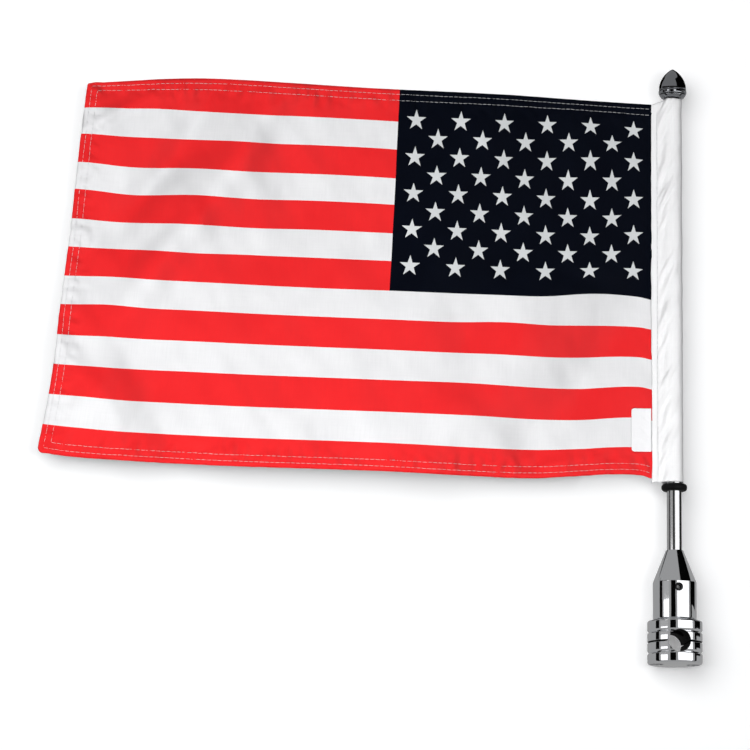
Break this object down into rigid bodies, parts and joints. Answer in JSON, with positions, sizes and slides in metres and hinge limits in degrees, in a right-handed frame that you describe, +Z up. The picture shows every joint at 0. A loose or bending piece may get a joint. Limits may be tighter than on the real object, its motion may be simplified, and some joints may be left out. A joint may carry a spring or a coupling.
{
  "type": "clamp-on rack flag pole",
  "caption": "Short steel pole with a pointed finial and a small printed flag on a cloth sleeve, held upright by a round split clamp that grips a luggage rack tube.",
  "frame": {"origin": "centre of the clamp's bore, on the axis of the rack tube and of the pole", "axes": "+Y along the rack tube's axis, +Z up along the pole towards the finial, -X from the pole towards the flag's fly end"},
  "size_m": [0.4222, 0.035, 0.3881],
  "materials": {
    "chrome": "polished chrome plate",
    "dark_chrome": "dark polished chrome",
    "stainless": "drawn stainless tube, satin",
    "screw_steel": "plain steel screws",
    "rubber": "matt black rubber",
    "printed_cloth": "plain weave, printed in red, white and dark blue",
    "white_cloth": "plain white weave"
  },
  "bodies": {
    "mount": {"clamp_head": "chrome", "pole_socket": "chrome", "socket_bolt": "screw_steel"},
    "clamp_cap": {"clamp_cap": "chrome"},
    "clamp_screw_left": {"clamp_screw_left": "screw_steel"},
    "clamp_screw_right": {"clamp_screw_right": "screw_steel"},
    "set_screw": {"set_screw": "screw_steel"},
    "pole": {"pole": "stainless"},
    "ring": {"rubber_ring": "rubber"},
    "finial_washer": {"finial_washer": "dark_chrome"},
    "finial": {"finial": "dark_chrome", "finial_stud": "screw_steel"},
    "flag": {"flag_panel": "printed_cloth", "flag_sleeve": "white_cloth", "flag_tag": "white_cloth"}
  },
  "joints": [
    {"name": "clamp_cap_open", "type": "slide", "parent": "mount", "child": "clamp_cap", "axis": [0, 0, -1], "range_m": [0, 0.0065]},
    {"name": "clamp_screw_left_turn", "type": "hinge", "parent": "clamp_cap", "child": "clamp_screw_left", "pos_m": [-0.01183, 0, -0.0088], "axis": [0, 0, -1], "range_deg": [0, 2950]},
    {"name": "clamp_screw_right_turn", "type": "hinge", "parent": "clamp_cap", "child": "clamp_screw_right", "pos_m": [0.01183, 0, -0.0088], "axis": [0, 0, -1], "range_deg": [0, 2950]},
    {"name": "set_screw_back_out", "type": "slide", "parent": "mount", "child": "set_screw", "axis": [0, -1, 0], "range_m": [0, 0.004]},
    {"name": "pole_lift_out", "type": "slide", "parent": "mount", "child": "pole", "axis": [0, 0, 1], "range_m": [0, 0.034]},
    {"name": "ring_slide", "type": "slide", "parent": "pole", "child": "ring", "axis": [0, 0, 1], "range_m": [-0.036, 0]},
    {"name": "finial_lift", "type": "slide", "parent": "pole", "child": "finial_washer", "axis": [0, 0, 1], "range_m": [0, 0.01]},
    {"name": "finial_unscrew", "type": "hinge", "parent": "finial_washer", "child": "finial", "pos_m": [0, 0, 0.3573], "axis": [0, 0, 1], "range_deg": [0, 2836]},
    {"name": "flag_swing", "type": "hinge", "parent": "pole", "child": "flag", "pos_m": [0, 0, 0.2276], "axis": [0, 0, 1], "continuous": true}
  ],
  "couplings": [
    {"joint": "clamp_screw_left_turn", "follows": "clamp_cap_open", "rad_per_m": 7915.8},
    {"joint": "clamp_screw_right_turn", "follows": "clamp_cap_open", "rad_per_m": 7915.8},
    {"joint": "finial_unscrew", "follows": "finial_lift", "rad_per_m": 4947.4}
  ]
}
